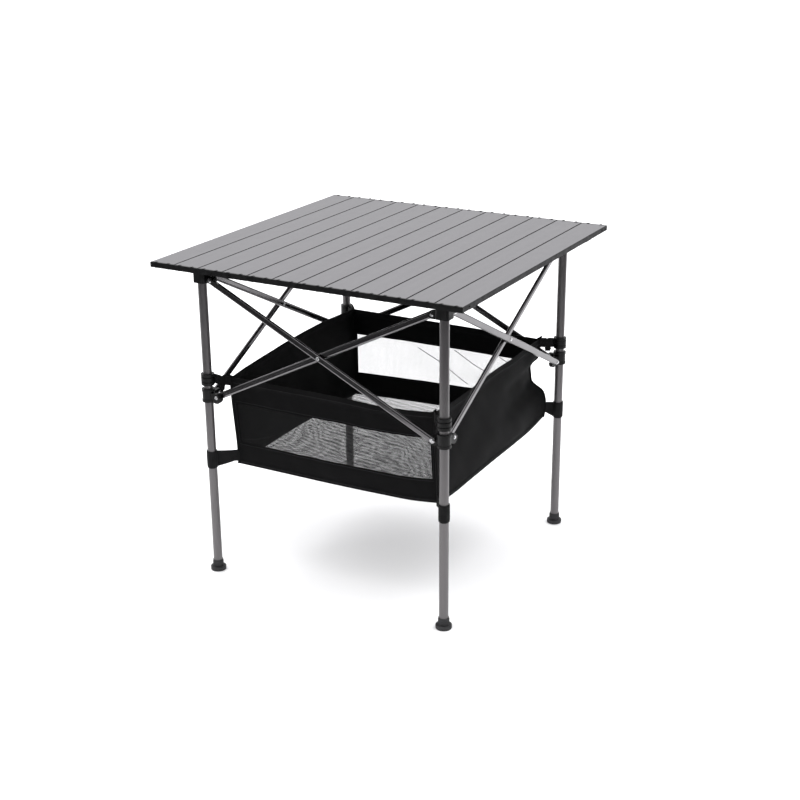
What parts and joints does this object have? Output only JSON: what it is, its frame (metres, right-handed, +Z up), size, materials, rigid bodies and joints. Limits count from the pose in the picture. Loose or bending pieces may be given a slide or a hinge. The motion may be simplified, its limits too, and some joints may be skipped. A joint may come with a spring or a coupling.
{
  "type": "camp kitchen table",
  "caption": "Square folding camp table with a roll-up slatted top, scissor-braced tube legs and a hanging fabric basket with mesh windows.",
  "frame": {"origin": "on the ground under the middle of the table", "axes": "+X across the slats, +Y along the slats, +Z up out of the table top"},
  "size_m": [0.7, 0.706, 0.7013],
  "materials": {
    "slat": "satin grey coated extrusion with black moulded end caps",
    "leg_tube": "satin grey coated tube",
    "bar_tube": "dark grey coated flat-oval tube",
    "fitting": "matte black moulded plastic",
    "foot": "matte black rubber",
    "rivet": "bright zinc",
    "fabric": "black woven polyester",
    "mesh": "black open mesh",
    "webbing": "black elastic webbing"
  },
  "bodies": {
    "front_left_leg": {"front_left_leg": "leg_tube", "front_left_foot": "foot", "front_left_head": "fitting", "front_left_stop_ring": "fitting", "front_left_straps": "webbing", "basket_front_panel": "fabric", "basket_front_mesh": "mesh", "basket_left_panel": "fabric"},
    "front_left_collar": {"front_left_collar": "fitting"},
    "front_right_leg": {"front_right_leg": "leg_tube", "front_right_foot": "foot", "front_right_head": "fitting", "front_right_stop_ring": "fitting", "front_right_straps": "webbing", "basket_right_panel": "fabric"},
    "front_right_collar": {"front_right_collar": "fitting"},
    "back_right_leg": {"back_right_leg": "leg_tube", "back_right_foot": "foot", "back_right_head": "fitting", "back_right_stop_ring": "fitting", "back_right_straps": "webbing"},
    "back_right_collar": {"back_right_collar": "fitting"},
    "back_left_leg": {"back_left_leg": "leg_tube", "back_left_foot": "foot", "back_left_head": "fitting", "back_left_stop_ring": "fitting", "back_left_straps": "webbing", "basket_back_panel": "fabric", "basket_back_mesh": "mesh"},
    "back_left_collar": {"back_left_collar": "fitting"},
    "front_outer_bar": {"front_outer_bar": "bar_tube", "front_outer_rivets": "rivet"},
    "front_inner_bar": {"front_inner_bar": "bar_tube", "front_inner_rivets": "rivet"},
    "right_outer_bar": {"right_outer_bar": "bar_tube", "right_outer_rivets": "rivet"},
    "right_inner_bar": {"right_inner_bar": "bar_tube", "right_inner_rivets": "rivet"},
    "back_outer_bar": {"back_outer_bar": "bar_tube", "back_outer_rivets": "rivet"},
    "back_inner_bar": {"back_inner_bar": "bar_tube", "back_inner_rivets": "rivet"},
    "left_outer_bar": {"left_outer_bar": "bar_tube", "left_outer_rivets": "rivet"},
    "left_inner_bar": {"left_inner_bar": "bar_tube", "left_inner_rivets": "rivet"},
    "basket_floor_front": {"basket_floor_front": "mesh"},
    "basket_floor_back": {"basket_floor_back": "mesh"},
    "slat_01": {"slat_01": "slat"},
    "slat_02": {"slat_02": "slat"},
    "slat_03": {"slat_03": "slat"},
    "slat_04": {"slat_04": "slat"},
    "slat_05": {"slat_05": "slat"},
    "slat_06": {"slat_06": "slat"},
    "slat_07": {"slat_07": "slat"},
    "slat_08": {"slat_08": "slat"},
    "slat_09": {"slat_09": "slat"},
    "slat_10": {"slat_10": "slat"},
    "slat_11": {"slat_11": "slat"},
    "slat_12": {"slat_12": "slat"}
  },
  "joints": [
    {"name": "frame_fold", "type": "hinge", "parent": "front_left_leg", "child": "front_outer_bar", "pos_m": [-0.253, -0.282, 0.656], "axis": [0, 1, 0], "range_deg": [0, 56], "deforming": ["basket_front_panel", "basket_front_mesh", "basket_back_panel", "basket_back_mesh", "basket_left_panel", "basket_right_panel", "basket_floor_front", "basket_floor_back", "front_left_straps", "front_right_straps", "back_right_straps", "back_left_straps"]},
    {"name": "front_crossing", "type": "hinge", "parent": "front_outer_bar", "child": "front_inner_bar", "pos_m": [0, -0.282, 0.53], "axis": [0, 1, 0], "range_deg": [-112, 0]},
    {"name": "front_right_leg_hinge", "type": "hinge", "parent": "front_inner_bar", "child": "front_right_leg", "pos_m": [0.253, -0.282, 0.656], "axis": [0, 1, 0], "range_deg": [0, 56]},
    {"name": "front_right_collar_hinge", "type": "hinge", "parent": "front_outer_bar", "child": "front_right_collar", "pos_m": [0.253, -0.282, 0.404], "axis": [0, 1, 0], "range_deg": [-56, 0]},
    {"name": "front_left_collar_hinge", "type": "hinge", "parent": "front_inner_bar", "child": "front_left_collar", "pos_m": [-0.253, -0.282, 0.404], "axis": [0, 1, 0], "range_deg": [0, 56]},
    {"name": "left_bar_swing", "type": "hinge", "parent": "front_left_leg", "child": "left_inner_bar", "pos_m": [-0.277, -0.253, 0.656], "axis": [-1, 0, 0], "range_deg": [0, 56]},
    {"name": "left_crossing", "type": "hinge", "parent": "left_inner_bar", "child": "left_outer_bar", "pos_m": [-0.277, 0, 0.53], "axis": [-1, 0, 0], "range_deg": [-112, 0]},
    {"name": "back_left_leg_hinge", "type": "hinge", "parent": "left_outer_bar", "child": "back_left_leg", "pos_m": [-0.277, 0.253, 0.656], "axis": [-1, 0, 0], "range_deg": [0, 56]},
    {"name": "back_left_collar_hinge", "type": "hinge", "parent": "left_inner_bar", "child": "back_left_collar", "pos_m": [-0.277, 0.253, 0.404], "axis": [-1, 0, 0], "range_deg": [-56, 0]},
    {"name": "right_bar_swing", "type": "hinge", "parent": "front_right_leg", "child": "right_outer_bar", "pos_m": [0.277, -0.253, 0.656], "axis": [-1, 0, 0], "range_deg": [0, 56]},
    {"name": "right_crossing", "type": "hinge", "parent": "right_outer_bar", "child": "right_inner_bar", "pos_m": [0.277, 0, 0.53], "axis": [-1, 0, 0], "range_deg": [-112, 0]},
    {"name": "back_right_leg_hinge", "type": "hinge", "parent": "right_inner_bar", "child": "back_right_leg", "pos_m": [0.277, 0.253, 0.656], "axis": [-1, 0, 0], "range_deg": [0, 56]},
    {"name": "back_right_collar_hinge", "type": "hinge", "parent": "right_outer_bar", "child": "back_right_collar", "pos_m": [0.277, 0.253, 0.404], "axis": [-1, 0, 0], "range_deg": [-56, 0]},
    {"name": "back_bar_swing", "type": "hinge", "parent": "back_left_leg", "child": "back_inner_bar", "pos_m": [-0.253, 0.282, 0.656], "axis": [0, 1, 0], "range_deg": [0, 56]},
    {"name": "back_crossing", "type": "hinge", "parent": "back_inner_bar", "child": "back_outer_bar", "pos_m": [0, 0.282, 0.53], "axis": [0, 1, 0], "range_deg": [-112, 0]},
    {"name": "floor_front_fold", "type": "hinge", "parent": "front_left_leg", "child": "basket_floor_front", "pos_m": [0, -0.253, 0.25], "axis": [1, 0, 0], "range_deg": [0, 81.87]},
    {"name": "floor_back_fold", "type": "hinge", "parent": "back_left_leg", "child": "basket_floor_back", "pos_m": [0, 0.253, 0.25], "axis": [-1, 0, 0], "range_deg": [0, 81.87]},
    {"name": "top_lift", "type": "slide", "parent": "front_left_leg", "child": "slat_01", "axis": [0, 0, 1], "range_m": [0, 0.25]},
    {"name": "top_roll", "type": "hinge", "parent": "slat_01", "child": "slat_02", "pos_m": [-0.29167, 0, 0.7], "axis": [0, -1, 0], "range_deg": [0, 48]},
    {"name": "slat_03_roll", "type": "hinge", "parent": "slat_02", "child": "slat_03", "pos_m": [-0.23333, 0, 0.7], "axis": [0, -1, 0], "range_deg": [0, 54]},
    {"name": "slat_04_roll", "type": "hinge", "parent": "slat_03", "child": "slat_04", "pos_m": [-0.175, 0, 0.7], "axis": [0, -1, 0], "range_deg": [0, 48]},
    {"name": "slat_05_roll", "type": "hinge", "parent": "slat_04", "child": "slat_05", "pos_m": [-0.11667, 0, 0.7], "axis": [0, -1, 0], "range_deg": [0, 53]},
    {"name": "slat_06_roll", "type": "hinge", "parent": "slat_05", "child": "slat_06", "pos_m": [-0.05833, 0, 0.7], "axis": [0, -1, 0], "range_deg": [0, 70]},
    {"name": "slat_07_roll", "type": "hinge", "parent": "slat_06", "child": "slat_07", "pos_m": [0, 0, 0.7], "axis": [0, -1, 0], "range_deg": [0, 52]},
    {"name": "slat_08_roll", "type": "hinge", "parent": "slat_07", "child": "slat_08", "pos_m": [0.05833, 0, 0.7], "axis": [0, -1, 0], "range_deg": [0, 70]},
    {"name": "slat_09_roll", "type": "hinge", "parent": "slat_08", "child": "slat_09", "pos_m": [0.11667, 0, 0.7], "axis": [0, -1, 0], "range_deg": [0, 80]},
    {"name": "slat_10_roll", "type": "hinge", "parent": "slat_09", "child": "slat_10", "pos_m": [0.175, 0, 0.7], "axis": [0, -1, 0], "range_deg": [0, 70]},
    {"name": "slat_11_roll", "type": "hinge", "parent": "slat_10", "child": "slat_11", "pos_m": [0.23333, 0, 0.7], "axis": [0, -1, 0], "range_deg": [0, 105]},
    {"name": "slat_12_roll", "type": "hinge", "parent": "slat_11", "child": "slat_12", "pos_m": [0.29167, 0, 0.7], "axis": [0, -1, 0], "range_deg": [0, 120]}
  ],
  "couplings": [
    {"joint": "front_crossing", "follows": "frame_fold", "ratio": -2},
    {"joint": "front_right_leg_hinge", "follows": "frame_fold", "ratio": 1},
    {"joint": "front_right_collar_hinge", "follows": "frame_fold", "ratio": -1},
    {"joint": "front_left_collar_hinge", "follows": "frame_fold", "ratio": 1},
    {"joint": "left_bar_swing", "follows": "frame_fold", "ratio": 1},
    {"joint": "left_crossing", "follows": "frame_fold", "ratio": -2},
    {"joint": "back_left_leg_hinge", "follows": "frame_fold", "ratio": 1},
    {"joint": "back_left_collar_hinge", "follows": "frame_fold", "ratio": -1},
    {"joint": "right_bar_swing", "follows": "frame_fold", "ratio": 1},
    {"joint": "right_crossing", "follows": "frame_fold", "ratio": -2},
    {"joint": "back_right_leg_hinge", "follows": "frame_fold", "ratio": 1},
    {"joint": "back_right_collar_hinge", "follows": "frame_fold", "ratio": -1},
    {"joint": "back_bar_swing", "follows": "frame_fold", "ratio": 1},
    {"joint": "back_crossing", "follows": "frame_fold", "ratio": -2},
    {"joint": "floor_front_fold", "follows": "frame_fold", "ratio": 1.462},
    {"joint": "floor_back_fold", "follows": "frame_fold", "ratio": 1.462},
    {"joint": "slat_03_roll", "follows": "top_roll", "ratio": 1.125},
    {"joint": "slat_04_roll", "follows": "top_roll", "ratio": 1},
    {"joint": "slat_05_roll", "follows": "top_roll", "ratio": 1.1042},
    {"joint": "slat_06_roll", "follows": "top_roll", "ratio": 1.4583},
    {"joint": "slat_07_roll", "follows": "top_roll", "ratio": 1.0833},
    {"joint": "slat_08_roll", "follows": "top_roll", "ratio": 1.4583},
    {"joint": "slat_09_roll", "follows": "top_roll", "ratio": 1.6667},
    {"joint": "slat_10_roll", "follows": "top_roll", "ratio": 1.4583},
    {"joint": "slat_11_roll", "follows": "top_roll", "ratio": 2.1875},
    {"joint": "slat_12_roll", "follows": "top_roll", "ratio": 2.5}
  ]
}
